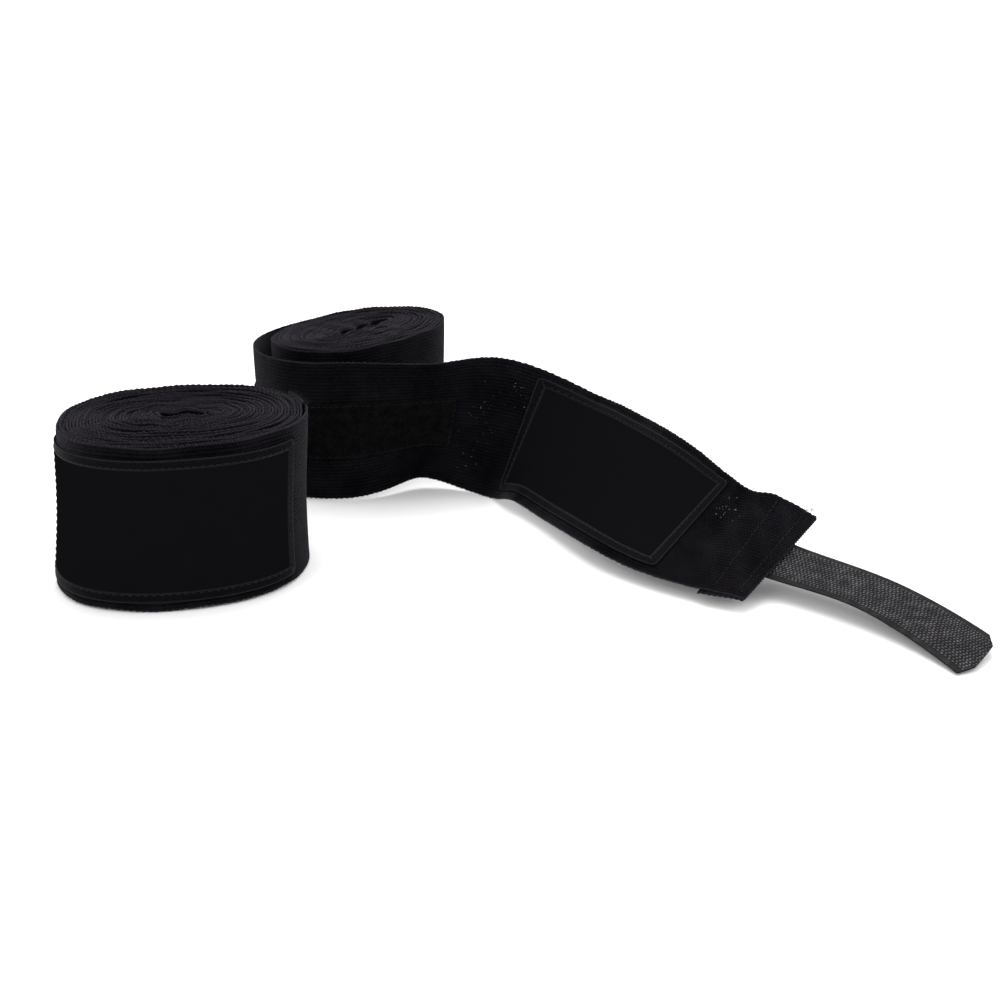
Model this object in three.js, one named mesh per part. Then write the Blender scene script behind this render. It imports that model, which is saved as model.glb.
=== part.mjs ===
// A pair of boxing hand wraps: two long cotton bands, each 50 mm wide and a little over 4 m long.
// Wrap A is rolled up and fastened. Wrap B is rolled up, with its outer turn loosened and its end laid out.
//
// Every cloth piece is a thin solid that follows a path. A path is a list of stations, and each station
// has a point on the middle line of the band, the direction across the band (w, towards its upper edge)
// and the direction out of its outer face (n). Pieces sewn on the band follow the same path, further out.

import * as THREE from 'three';

// ---- driving dimensions, in millimetres ----

const BAND_WIDTH = 50;
const BAND_THICK = 0.55;
const GAP = 0.3; // clearance kept between neighbouring pieces
const PATCH_THICK = 0.4; // plain label cloth
const BORDER_THICK = 0.3; // the label's sewn border
const THREAD_THICK = 0.25; // height of a sewn line
const THREAD_WIDTH = 0.8;
const TAPE_THICK = 1.0; // hook tape and loop tape, with their pile
const TAPE_WIDTH = 20;

// Lengths along the band, measured back from its hemmed end.
const HEM_LENGTH = 15;
const LABEL_LENGTH = 90;
const LABEL_WIDTH = 43.5;
const LABEL_BORDER = 3;
const LOOP_END = 144; // where the loop tape stops, on the side of the label

const HALF_BAND = BAND_WIDTH / 2;
const HALF_LABEL = LABEL_WIDTH / 2;
const HALF_TAPE = TAPE_WIDTH / 2;

// The hook tape starts just past the hem, and its free end has cut corners.
const HOOK_ROOT_GAP = 2.6;
const HOOK_LENGTH = 69;
const HOOK_CORNER = 3;

// The hem's two sewn lines across the band.
const HEM_SEAM_INSETS = [2.5, 11.5];

// ---- where the two wraps stand ----

const WRAP_A = {
  centre: [-99.7, -39.2],
  halfLong: 37.1,
  halfShort: 33.5,
  turnedBy: 11, // degrees, long axis from +X
  pitch: 0.95,
  turns: 31,
  loopStart: 217, // these two are also measured from the hemmed end
  labelStart: 127,
  endsAt: 27, // degrees past the right-hand end of the long axis
};

const WRAP_B = {
  centre: [-55.4, 75.4],
  halfLong: 40.2,
  halfShort: 25.5,
  turnedBy: 58,
  pitch: 0.82,
  turns: 28,
  loopStart: 238,
  labelStart: 120,
  endsAt: 83,
};

const OVAL_POWER = 2.3; // 2 is an ellipse, and more is a squarer oval
const SEGMENTS_PER_TURN = 16;

// Wrap B's loosened turn and laid-out end. Each bend turns the band by some degrees between two lengths,
// measured from where it leaves the roll, and bends of one kind add up.
const FIRST_HEADING = -130; // which way the band runs, from +X towards +Y
const TURNS = [
  { from: 0, to: 130, by: 150 }, // round the roll's left side and along its front
  { from: 130, to: 195, by: -82 }, // away from the roll, towards the front
  { from: 215, to: 265, by: 30 }, // past the label, back to the right
  { from: 262, to: 385, by: -40 }, // the hem and the hook tape
];
// How far the upper edge tips away from the outer face.
const LEANS = [
  { from: 96, to: 130, by: -20 },
  { from: 128, to: 182, by: 72 }, // the band lies down on its back
  { from: 190, to: 320, by: 32 },
];
// How the middle of the band climbs: over a low crest, down along the label, and on to the table.
const CLIMBS = [
  { from: 65, to: 105, by: 4 },
  { from: 113, to: 150, by: -15 },
  { from: 155, to: 192, by: 10 },
  { from: 215, to: 240, by: -11 },
  { from: 245, to: 275, by: 6 },
  { from: 290, to: 330, by: -1 },
];
const LOOSE_LENGTH = 360;
const TAIL_END = 283; // the hem's edge
const TAIL_HINGE = 95; // where the laid-out end swings from the roll: the band stands upright here
const HINGE_GAP = 0.4;
const LOOP_HINGE_GAP = 1.0; // the loop tape stands further out, so it needs more room to bend
const STATION_STEP = 6.25;

// ---- looks ----

const COTTON = { color: 0x1b1a1c, roughness: 0.95, metalness: 0 };
const PATCH = { color: 0x101113, roughness: 0.6, metalness: 0 };
const THREAD = { color: 0x232325, roughness: 0.8, metalness: 0 };
const HOOK_TAPE = { color: 0x45464a, roughness: 0.85, metalness: 0 };
const LOOP_TAPE = { color: 0x19191b, roughness: 1, metalness: 0 };

// ---- paths ----

const radians = THREE.MathUtils.degToRad;

function ovalPoint(halfLong, halfShort, angle) {
  const c = Math.cos(angle);
  const s = Math.sin(angle);
  return new THREE.Vector2(
    halfLong * Math.sign(c) * Math.abs(c) ** (2 / OVAL_POWER),
    halfShort * Math.sign(s) * Math.abs(s) ** (2 / OVAL_POWER),
  );
}

// The middle line of a wound band in plan. turn counts back from the outer end: 0 is the end itself.
function coilPoint(wrap, turn, outward = 0) {
  const inset = BAND_THICK / 2 + wrap.pitch * turn - outward;
  const angle = radians(wrap.endsAt) - 2 * Math.PI * turn;
  const point = ovalPoint(wrap.halfLong - inset, wrap.halfShort - inset, angle);
  point.rotateAround(new THREE.Vector2(), radians(wrap.turnedBy));
  return point.add(new THREE.Vector2(...wrap.centre));
}

function uprightStation(point, ahead) {
  const along = ahead.clone().normalize();
  return {
    p: new THREE.Vector3(point.x, point.y, HALF_BAND),
    w: new THREE.Vector3(0, 0, 1),
    n: new THREE.Vector3(along.y, -along.x, 0),
  };
}

// Stations from the core of a roll out to its end. The last part of the end can stand out from the roll.
function coilPath(wrap, endLift = () => 0) {
  const count = wrap.turns * SEGMENTS_PER_TURN;
  const delta = 0.25 / SEGMENTS_PER_TURN; // the direction is measured this far to each side
  const path = [];
  for (let i = count; i >= 0; i -= 1) {
    const turn = i / SEGMENTS_PER_TURN;
    const before = coilPoint(wrap, turn + delta, endLift(turn + delta));
    const after = coilPoint(wrap, turn - delta, endLift(turn - delta));
    path.push(uprightStation(coilPoint(wrap, turn, endLift(turn)), after.sub(before)));
  }
  return path;
}

function bentBy(bends, distance) {
  const parts = bends.map(({ from, to, by }) => by * THREE.MathUtils.smoothstep(distance, from, to));
  return radians(parts.reduce((sum, part) => sum + part, 0));
}

function pathAngles(distance) {
  return {
    heading: radians(FIRST_HEADING) + bentBy(TURNS, distance),
    pitch: bentBy(CLIMBS, distance),
    lean: bentBy(LEANS, distance),
  };
}

function alongDirection(distance) {
  const { heading, pitch } = pathAngles(distance);
  return new THREE.Vector3(
    Math.cos(pitch) * Math.cos(heading),
    Math.cos(pitch) * Math.sin(heading),
    Math.sin(pitch),
  );
}

function loosePoint(distance) {
  const start = coilPoint(WRAP_B, 0);
  const point = new THREE.Vector3(start.x, start.y, HALF_BAND);
  const steps = Math.max(1, Math.round(distance));
  for (let i = 0; i < steps; i += 1) {
    point.addScaledVector(alongDirection(((i + 0.5) * distance) / steps), distance / steps);
  }
  return point;
}

function looseStation(distance) {
  const { heading, pitch, lean } = pathAngles(distance);
  const along = alongDirection(distance);
  const upright = new THREE.Vector3(
    -Math.sin(pitch) * Math.cos(heading),
    -Math.sin(pitch) * Math.sin(heading),
    Math.cos(pitch),
  );
  const aside = new THREE.Vector3().crossVectors(upright, along);
  const w = upright.multiplyScalar(Math.cos(lean)).addScaledVector(aside, Math.sin(lean));
  return { s: distance, p: loosePoint(distance), w, n: new THREE.Vector3().crossVectors(along, w) };
}

// All pieces on the loose part share one set of cross lines and one set of lengthwise lines, so that
// their facets stay parallel where the band twists.
const LABEL_FROM = TAIL_END - WRAP_B.labelStart;
const LOOSE_LINES = [
  LABEL_FROM,
  LABEL_FROM + LABEL_BORDER,
  LABEL_FROM + LABEL_LENGTH - LABEL_BORDER,
  LABEL_FROM + LABEL_LENGTH,
  TAIL_END - HEM_SEAM_INSETS[1],
  TAIL_END - HEM_SEAM_INSETS[1] + THREAD_WIDTH,
  TAIL_END - HEM_SEAM_INSETS[0],
  TAIL_END - HEM_SEAM_INSETS[0] + THREAD_WIDTH,
];

function loosePath() {
  const lines = new Set(LOOSE_LINES);
  for (let s = 0; s <= LOOSE_LENGTH; s += STATION_STEP) lines.add(s);
  const path = [...lines].sort((a, b) => a - b).map(looseStation);
  path.twisted = true;
  return path;
}

function addLengths(path, endLength) {
  let s = endLength;
  path.at(-1).s = s;
  for (let i = path.length - 2; i >= 0; i -= 1) {
    s -= path[i].p.distanceTo(path[i + 1].p);
    path[i].s = s;
  }
  return path;
}

function between(a, b, t) {
  return {
    s: a.s + (b.s - a.s) * t,
    p: a.p.clone().lerp(b.p, t),
    w: a.w.clone().lerp(b.w, t),
    n: a.n.clone().lerp(b.n, t),
  };
}

function stationAt(path, s) {
  const next = path.findIndex((station) => station.s > s);
  const i = next < 0 ? path.length - 1 : Math.max(next, 1);
  const [a, b] = [path[i - 1], path[i]];
  return between(a, b, (s - a.s) / (b.s - a.s));
}

// Stations nearer to each other than this, in mm along the band, count as one.
const SAME_PLACE = 0.01;

// The stations of a path from one length to another, with a station at each of the extra lengths.
function stretch(path, from, to, extras = []) {
  const inside = path.filter(({ s }) => s > from + SAME_PLACE && s < to - SAME_PLACE);
  const added = extras.filter((s) => !inside.some((station) => Math.abs(station.s - s) < SAME_PLACE));
  const stations = [from, ...added, to].map((s) => stationAt(path, s));
  return [...stations, ...inside].sort((a, b) => a.s - b.s);
}

// ---- solids ----

// A thin closed solid along a row of stations, between two distances out from the band's middle.
// widths are the lengthwise lines. keep(i, j) says which cells between the lines are cloth.
function sheetSolid(stations, widths, inner, outer, keep = () => true, narrow = () => 1) {
  const rows = widths.length;
  const vertices = [];
  for (const level of [inner, outer]) {
    for (const station of stations) {
      for (const width of widths) {
        const point = station.p.clone().addScaledVector(station.w, width * narrow(station.s));
        point.addScaledVector(station.n, level);
        vertices.push(point.x, point.y, point.z);
      }
    }
  }
  const low = (i, j) => i * rows + j;
  const high = (i, j) => low(i, j) + stations.length * rows;
  const kept = (i, j) => i >= 0 && j >= 0 && i < stations.length - 1 && j < rows - 1 && keep(i, j);
  const faces = [];
  for (let i = 0; i < stations.length - 1; i += 1) {
    for (let j = 0; j < rows - 1; j += 1) {
      if (!kept(i, j)) continue;
      const corners = [[i, j], [i + 1, j], [i + 1, j + 1], [i, j + 1]];
      const [a, b, c, d] = corners.map((corner) => high(...corner));
      const [e, f, g, h] = corners.map((corner) => low(...corner));
      faces.push(a, b, c, a, c, d, e, g, f, e, h, g);
      const neighbours = [[i, j - 1], [i + 1, j], [i, j + 1], [i - 1, j]];
      neighbours.forEach((neighbour, side) => {
        if (kept(...neighbour)) return;
        const from = corners[side];
        const to = corners[(side + 1) % 4];
        faces.push(low(...from), low(...to), high(...to), low(...from), high(...to), high(...from));
      });
    }
  }
  return compactGeometry(vertices, faces);
}

// Drops the vertices that no face uses.
function compactGeometry(vertices, faces) {
  const renumbered = new Map();
  const positions = [];
  const index = faces.map((vertex) => {
    if (!renumbered.has(vertex)) {
      renumbered.set(vertex, renumbered.size);
      positions.push(...vertices.slice(vertex * 3, vertex * 3 + 3));
    }
    return renumbered.get(vertex);
  });
  const geometry = new THREE.BufferGeometry();
  geometry.setAttribute('position', new THREE.Float32BufferAttribute(positions, 3));
  geometry.setIndex(index);
  return geometry;
}

const hand_wraps = new THREE.Group();

function addPiece(name, geometry, look) {
  const mesh = new THREE.Mesh(geometry, new THREE.MeshStandardMaterial(look));
  mesh.name = name;
  hand_wraps.add(mesh);
}

// ---- lengthwise lines of each piece ----

// On the rolls a piece has lines at its own edges only. On the loose part it has every shared line it covers.
const LOOSE_WIDTHS = [HALF_BAND, HALF_LABEL, HALF_LABEL - LABEL_BORDER, HALF_TAPE, 0];

function widthLines(path, ...own) {
  const lines = path.twisted ? LOOSE_WIDTHS.filter((line) => line <= own[0]) : own;
  const lower = lines.filter((line) => line > 0).map((line) => -line);
  return [...lower, ...[...lines].reverse()];
}

// The raised border of a patch: the ring of cells along its edges.
function borderRing(path, from, to, level) {
  const lines = [from + LABEL_BORDER, to - LABEL_BORDER];
  const stations = stretch(path, from, to, lines);
  const widths = widthLines(path, HALF_LABEL, HALF_LABEL - LABEL_BORDER);
  const keep = (i, j) => {
    const middle = (stations[i].s + stations[i + 1].s) / 2;
    return middle < lines[0] || middle > lines[1] || j === 0 || j === widths.length - 2;
  };
  return sheetSolid(stations, widths, level, level + BORDER_THICK, keep);
}

// ---- the pieces sewn on a wrap ----

const FACE = BAND_THICK / 2 + GAP; // where a piece on the outer face of the band begins

function bandSolid(path, from = -Infinity, to = Infinity) {
  const stations = Number.isFinite(from) ? stretch(path, from, to) : path;
  return sheetSolid(stations, widthLines(path, HALF_BAND), -BAND_THICK / 2, BAND_THICK / 2);
}

// The label and its raised, sewn border, near the band's end.
function addLabel(prefix, path, from) {
  const to = from + LABEL_LENGTH;
  const stations = stretch(path, from, to, [from + LABEL_BORDER, to - LABEL_BORDER]);
  const patch = sheetSolid(stations, widthLines(path, HALF_LABEL), FACE, FACE + PATCH_THICK);
  addPiece(`${prefix}_label`, patch, PATCH);
  addPiece(`${prefix}_label_border`, borderRing(path, from, to, FACE + PATCH_THICK + GAP), THREAD);
}

// The soft loop tape that the hooks grip. A tape that crosses a hinge is made in two lengths.
function addLoopTape(name, path, from, to) {
  const tape = sheetSolid(stretch(path, from, to), widthLines(path, HALF_TAPE), FACE, FACE + TAPE_THICK);
  addPiece(name, tape, LOOP_TAPE);
}

// The hem: the band's end folded back on its inner side, with two sewn lines across it.
function addHem(prefix, path, end) {
  const fold = sheetSolid(
    stretch(path, end - HEM_LENGTH, end),
    widthLines(path, HALF_BAND),
    -FACE - BAND_THICK,
    -FACE,
  );
  addPiece(`${prefix}_hem_fold`, fold, COTTON);
  HEM_SEAM_INSETS.forEach((inset, i) => {
    const seam = sheetSolid(
      stretch(path, end - inset, end - inset + THREAD_WIDTH),
      widthLines(path, HALF_LABEL),
      FACE,
      FACE + THREAD_THICK,
    );
    addPiece(`${prefix}_hem_seam_${i + 1}`, seam, THREAD);
  });
}

// The hook tape, which leaves the hem and ends in cut corners.
function addHookTape(prefix, path, from, level) {
  const to = from + HOOK_LENGTH;
  const tip = to - HOOK_CORNER;
  const narrow = (s) => (s > tip ? 1 - ((s - tip) / HOOK_CORNER) * (HOOK_CORNER / HALF_TAPE) : 1);
  const tape = sheetSolid(
    stretch(path, from, to, [tip]),
    widthLines(path, HALF_TAPE),
    level,
    level + TAPE_THICK,
    () => true,
    narrow,
  );
  addPiece(`${prefix}_hook_tape`, tape, HOOK_TAPE);
}

// The thumb loop: a narrow tape doubled back on itself, lying flat in the core, with its bar tack.
const THUMB_TAPE_THICK = 0.8;
const THUMB_LENGTH = 11;
const THUMB_BEND = 1.2;
const THUMB_SLIT = 0.4;

function addThumbLoop(prefix, wrap) {
  const frame = (x, y, along) => {
    const turned = radians(wrap.turnedBy);
    const point = new THREE.Vector2(x, y).rotateAround(new THREE.Vector2(), turned);
    const ahead = new THREE.Vector2(...along).rotateAround(new THREE.Vector2(), turned);
    return uprightStation(point.add(new THREE.Vector2(...wrap.centre)), ahead);
  };
  const half = THUMB_LENGTH / 2;
  const stations = [frame(-half, -THUMB_SLIT, [1, 0]), frame(half - THUMB_BEND, -THUMB_SLIT, [1, 0])];
  for (const angle of [-45, 0, 45]) {
    const a = radians(angle);
    const x = half - THUMB_BEND + THUMB_BEND * Math.cos(a);
    stations.push(frame(x, THUMB_BEND * Math.sin(a), [-Math.sin(a), Math.cos(a)]));
  }
  stations.push(frame(half - THUMB_BEND, THUMB_SLIT, [-1, 0]), frame(-half, THUMB_SLIT, [-1, 0]));
  const loop = sheetSolid(stations, [-HALF_TAPE, HALF_TAPE], 0, THUMB_TAPE_THICK);
  addPiece(`${prefix}_thumb_loop`, loop, COTTON);
}

// ---- wrap A, rolled up ----

// The end stands out over the loop tape and the hem's fold. Between these two places, in turns back from
// the end, it comes down to the roll.
const END_LIFT = 0.8;
const LIFT_FULL_TURN = 0.07;
const LIFT_TURN = 0.14;

function endLift(turn) {
  return END_LIFT * (1 - THREE.MathUtils.smoothstep(turn, LIFT_FULL_TURN, LIFT_TURN));
}

function addWrapA() {
  const coil = addLengths(coilPath(WRAP_A, endLift), 0);
  addPiece('a_band', bandSolid(coil), COTTON);
  addLabel('a', coil, -WRAP_A.labelStart);
  addLoopTape('a_loop_tape', coil, -WRAP_A.loopStart, -LOOP_END);
  addHem('a', coil, 0);
  const underHemEdge = coil.at(-1 - SEGMENTS_PER_TURN).s;
  addHookTape('a', coil, underHemEdge + HOOK_ROOT_GAP, FACE + TAPE_THICK + GAP);
  addThumbLoop('a', WRAP_A);
}

// ---- wrap B, loosened ----

function addWrapB() {
  const loose = loosePath();
  addPiece('b_band', bandSolid(coilPath(WRAP_B)), COTTON);
  addPiece('b_loose_turn', bandSolid(loose, GAP, TAIL_HINGE - HINGE_GAP), COTTON);
  addPiece('b_tail', bandSolid(loose, TAIL_HINGE + HINGE_GAP, TAIL_END), COTTON);
  const [loopFrom, loopTo] = [TAIL_END - WRAP_B.loopStart, TAIL_END - LOOP_END];
  addLoopTape('b_loop_tape_roll_part', loose, loopFrom, TAIL_HINGE - LOOP_HINGE_GAP);
  addLoopTape('b_loop_tape_tail_part', loose, TAIL_HINGE + LOOP_HINGE_GAP, loopTo);
  addLabel('b', loose, LABEL_FROM);
  addHem('b', loose, TAIL_END);
  addHookTape('b', loose, TAIL_END + HOOK_ROOT_GAP, -TAPE_THICK / 2);
  addThumbLoop('b', WRAP_B);
}

addWrapA();
addWrapB();

export default hand_wraps;
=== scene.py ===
"""A pair of black cotton boxing hand wraps: wrap A rolled up, wrap B loosened with its end laid out.

Lengths are in millimetres until a mesh is made, and then in metres. Every cloth piece is laid on a path,
which is the middle line of a wrap's band. A place on a path is (s, x, level): s along the band, x across
it towards its upper edge, and level out of its outer face. s is 0 where wrap A ends and where wrap B
leaves its roll, as in the CAD model.
"""

import math

import bpy
import numpy as np
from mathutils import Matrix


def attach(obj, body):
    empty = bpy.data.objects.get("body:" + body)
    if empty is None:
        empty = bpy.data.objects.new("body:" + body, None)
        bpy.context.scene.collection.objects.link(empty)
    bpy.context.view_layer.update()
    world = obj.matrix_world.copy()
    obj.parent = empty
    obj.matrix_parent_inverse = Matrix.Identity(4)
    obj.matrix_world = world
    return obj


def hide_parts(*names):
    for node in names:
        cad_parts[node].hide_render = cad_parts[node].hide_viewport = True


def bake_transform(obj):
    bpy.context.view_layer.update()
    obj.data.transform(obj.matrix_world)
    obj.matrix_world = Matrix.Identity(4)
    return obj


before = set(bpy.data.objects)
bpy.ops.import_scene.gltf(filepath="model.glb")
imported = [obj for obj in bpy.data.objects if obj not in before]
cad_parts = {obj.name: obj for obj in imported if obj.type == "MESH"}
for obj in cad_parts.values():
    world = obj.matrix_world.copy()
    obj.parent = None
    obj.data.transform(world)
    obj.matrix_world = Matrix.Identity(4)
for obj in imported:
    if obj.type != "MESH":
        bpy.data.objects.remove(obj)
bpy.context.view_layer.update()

MM = 0.001

# ---- sizes shared with the CAD model ----

BAND_WIDTH = 50
HALF_BAND = BAND_WIDTH / 2
BAND_THICK = 0.55
GAP = 0.3
FACE = BAND_THICK / 2 + GAP
TAPE_THICK = 1.0
TAPE_WIDTH = 20
HEM_LENGTH = 15
LABEL_LENGTH = 90
LABEL_WIDTH = 43.5
LABEL_BORDER = 3
LOOP_END = 144
HOOK_ROOT_GAP = 2.6
HOOK_LENGTH = 69
HOOK_CORNER = 3
OVAL_POWER = 2.3
END_LIFT = 0.8
LIFT_TURNS = (0.07, 0.14)
THUMB_LENGTH = 11

WRAP_A = {
    "centre": (-99.7, -39.2),
    "half_long": 37.1,
    "half_short": 33.5,
    "turned_by": 11,
    "pitch": 0.95,
    "turns": 31,
    "loop_start": 217,
    "label_start": 127,
    "ends_at": 27,
    "core_squeeze": 0.24,  # how much narrower the core is than evenly spaced turns would make it
}
WRAP_B = {
    "centre": (-55.4, 75.4),
    "half_long": 40.2,
    "half_short": 25.5,
    "turned_by": 58,
    "pitch": 0.82,
    "turns": 28,
    "loop_start": 238,
    "label_start": 120,
    "ends_at": 83,
    "core_squeeze": 0.0,
}

# Wrap B's loosened turn and laid-out end: bends of (from, to, degrees), in mm from where it leaves the roll.
FIRST_HEADING = -130
TURNS = (
    (0, 130, 150),  # round the roll's left side and along its front
    (130, 195, -82),  # away from the roll, towards the front
    (215, 265, 30),  # past the label, back to the right
    (262, 385, -40),  # the hem and the hook tape
)
LEANS = ((96, 130, -20), (128, 182, 72), (190, 320, 32))
CLIMBS = ((65, 105, 4), (113, 150, -15), (155, 192, 10), (215, 240, -11), (245, 275, 6), (290, 330, -1))
TAIL_END = 283
TAIL_HINGE = 95

# ---- sizes of the cloth's detail ----

RIB_PITCH = 1.25
RIB_HEIGHT = 0.1
SCALLOP = 1.8  # length of one bump along the woven edge
BAND_STEP = 0.6
HEM_RADIUS = (BAND_THICK + GAP) / 2
STITCH_PITCH = 2.2
STITCH_LENGTH = 1.5
STITCH_HEIGHT = 0.14
FINE_STITCH = 0.11  # thickness of the hem's and the loop tape's stitches, as a radius
LABEL_STITCH = 0.16
HEM_STITCH_INSETS = (2.9, 11.1)  # how far in from the hem's edge its two lines of stitches run
SEWN_LOW = 0.36  # the underside of what is sewn on the band, from the band's middle
LABEL_HIGH = 0.86
LOOP_HIGH = 0.95
LOOP_COUNT = 1500
HOOK_PITCH_S = 1.25
HOOK_PITCH_X = 0.95
HOOK_SELVEDGE = 2.0
HOOK_GROUND = 0.42
HOOK_BUMP = 0.24
HOOK_ASKEW = 5  # how far the tape's tip is cut out of square, at each edge
ASKEW_OVER = 22  # how much of the tape the skew is spread over
RISE_OVER = 34  # how far past its root the tape comes up to its own level
HOOK_BEND = (0.6, 4.6)  # two places from the hem's edge, given to blend_between at the hook tape's joint
TAIL_BEND = 12  # how far on each side of its hinge the places given to blend_between lie
TABLE_GAP = 0.06  # the least height of any cloth above the table
FIBRE_RADIUS = 0.026
PILE_RADIUS = 0.06
THREAD_END_RADIUS = 0.09
LINT_INSET = 1.5

# ---- the camera ----

CAMERA_PLACE = (-0.0016, -0.4531, 0.1744)  # in metres
CAMERA_DOWN = 20.2  # in degrees
CAMERA_ANGLE = 39.08


def smoothstep(value, low, high):
    t = np.clip((value - low) / (high - low), 0, 1)
    return t * t * (3 - 2 * t)


def unit(vectors):
    return vectors / np.linalg.norm(vectors, axis=-1, keepdims=True)


def ripple(position, *waves):
    """A sum of sine waves, each (height, wavelength, phase)."""
    return sum(height * np.sin(2 * math.pi * position / length + phase) for height, length, phase in waves)


# ---- paths ----


def coil_point(wrap, turn, outward=0.0):
    """The band's middle line in plan, turn counted back from the outer end."""
    inset = BAND_THICK / 2 + wrap["pitch"] * turn - outward
    angle = math.radians(wrap["ends_at"]) - 2 * math.pi * turn
    squeeze = 1 - wrap["core_squeeze"] * smoothstep(turn / wrap["turns"], 0.05, 0.6)
    c, s = np.cos(angle), np.sin(angle)
    long = (wrap["half_long"] - inset) * np.sign(c) * np.abs(c) ** (2 / OVAL_POWER)
    short = (wrap["half_short"] - inset) * squeeze * np.sign(s) * np.abs(s) ** (2 / OVAL_POWER)
    turned = math.radians(wrap["turned_by"])
    x = wrap["centre"][0] + long * math.cos(turned) - short * math.sin(turned)
    y = wrap["centre"][1] + long * math.sin(turned) + short * math.cos(turned)
    return np.stack([x, y], -1)


def end_lift(turn):
    return END_LIFT * (1 - smoothstep(turn, *LIFT_TURNS))


def coil_stations(wrap, lifted):
    """Points, across directions and outward directions of a roll, from its core to its end."""
    turn = np.linspace(wrap["turns"], 0, wrap["turns"] * 240 + 1)
    plan = coil_point(wrap, turn, end_lift(turn) if lifted else 0.0)
    points = np.column_stack([plan, np.full(len(plan), HALF_BAND)])
    along = unit(np.gradient(points, axis=0))
    across = np.tile([0.0, 0.0, 1.0], (len(points), 1))
    return points, across, np.cross(along, across)


def bent_by(bends, s):
    """The bends of one kind, added up, in radians."""
    return np.radians(sum(by * smoothstep(s, start, end) for start, end, by in bends))


def loose_stations():
    """Wrap B from where it leaves its roll to its hook tape's tip."""
    step = 0.25
    length = TAIL_END + HOOK_ROOT_GAP + HOOK_LENGTH + 2
    s = np.arange(0, length, step)
    heading = math.radians(FIRST_HEADING) + bent_by(TURNS, s)
    pitch, lean = bent_by(CLIMBS, s), bent_by(LEANS, s)
    level, climb = np.cos(pitch), np.sin(pitch)
    along = np.stack([level * np.cos(heading), level * np.sin(heading), climb], -1)
    upright = np.stack([-climb * np.cos(heading), -climb * np.sin(heading), level], -1)
    across = upright * np.cos(lean)[:, None] + np.cross(upright, along) * np.sin(lean)[:, None]
    start = np.array([*coil_point(WRAP_B, 0.0), HALF_BAND])
    moved = (along[1:] + along[:-1]) * step / 2
    points = start + np.concatenate([np.zeros((1, 3)), np.cumsum(moved, axis=0)])
    return s, points, across, np.cross(along, across)


class Path:
    """Stations along a band's middle line. place() gives points on it, in metres."""

    def __init__(self, s, points, across, outward, settle, relief=None):
        self.s, self.points, self.across, self.outward = s, points, across, outward
        self.settle = settle  # moves points, in mm, as the roll's own slackness does
        self.relief = relief or (lambda s, x: 0.0)  # how far the cloth stands out at (s, x)

    def mix(self, values, s):
        return np.stack([np.interp(s, self.s, values[:, k]) for k in range(3)], -1)

    def place(self, s, x, level):
        s, x, level = np.broadcast_arrays(*(np.asarray(v, float) for v in (s, x, level)))
        point, across = self.mix(self.points, s), unit(self.mix(self.across, s))
        outward = unit(self.mix(self.outward, s))
        level = level + self.relief(s, x)
        placed = self.settle(point + across * x[..., None] + outward * level[..., None])
        placed[..., 2] = np.maximum(placed[..., 2], TABLE_GAP)
        return placed * MM

    def outward_at(self, s):
        return unit(self.mix(self.outward, np.asarray(s, float)))


def settled_roll(wrap, waist, foot, lumps, core_wave, lean=0.0, spread=0.0):
    """How a roll's turns sag and wander: a waist, a foot, slow lumps, core waves, a lean and a spread."""
    turned = math.radians(wrap["turned_by"])
    rotate = np.array([[math.cos(turned), -math.sin(turned)], [math.sin(turned), math.cos(turned)]])
    centre = np.array(wrap["centre"])

    def settle(points):
        local = (points[..., :2] - centre) @ rotate
        radius = np.linalg.norm(local, axis=-1)
        angle = np.arctan2(local[..., 1], local[..., 0])
        height = points[..., 2]
        bulge = waist * np.cos(2 * math.pi * height / BAND_WIDTH) + foot * np.exp(-height / 4)
        bulge = bulge + lumps * (np.sin(3 * angle + 1 + height / 40) + 0.6 * np.sin(7 * angle + height / 25))
        grown = 1 + bulge * np.clip(radius / wrap["half_short"], 0, 1) / np.maximum(radius, 1)
        grown = grown + spread * (1 - height / BAND_WIDTH)
        local = local * grown[..., None]
        calm = core_wave * (1 - smoothstep(radius, 7, 24))
        local[..., 1] += calm * np.sin(local[..., 0] * 0.62 + 0.4)
        local[..., 0] += 0.5 * calm * np.sin(local[..., 1] * 0.8 + 1.3)
        moved = points.copy()
        moved[..., :2] = local @ rotate.T + centre
        moved[..., 0] -= lean * (0.85 - height / BAND_WIDTH)  # about a level near the top
        return moved

    return settle


def lengths_to(points, end):
    steps = np.linalg.norm(np.diff(points, axis=0), axis=1)
    s = np.concatenate([[0], np.cumsum(steps)])
    return s - s[-1] + end


def path_a():
    points, across, outward = coil_stations(WRAP_A, lifted=True)
    settle = settled_roll(WRAP_A, waist=0.3, foot=0.5, lumps=0.14, core_wave=1.3, lean=3.4, spread=0.035)
    return Path(lengths_to(points, 0), points, across, outward, settle)


def tail_relief(s, x):
    """The laid-out end's cloth: a dip past the label, a rise before the hem, puckers and slack edges."""
    upper = 0.5 + 0.5 * np.clip(x / HALF_BAND, -1, 1)
    rise = 2.2 * np.exp(-(((s - TAIL_END + 11) / 6.5) ** 2)) * (0.2 + 0.8 * upper)
    dip = -1.1 * np.exp(-(((s - TAIL_END + 24) / 4.5) ** 2)) * upper
    near_hem = smoothstep(s, TAIL_END - 31, TAIL_END - 25) * (1 - smoothstep(s, TAIL_END - 6, TAIL_END))
    puckers = 0.42 * near_hem * np.sin(0.62 * s + 0.2 * x) * np.cos(0.2 * x + 0.4)
    edge = np.abs(x / HALF_BAND) ** 4 * smoothstep(s, 120, 150)
    slack = edge * (ripple(s, (0.12, 23, 0.0), (0.05, 9, 1.0)) + 0.1)
    return rise + dip + puckers + slack


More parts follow.
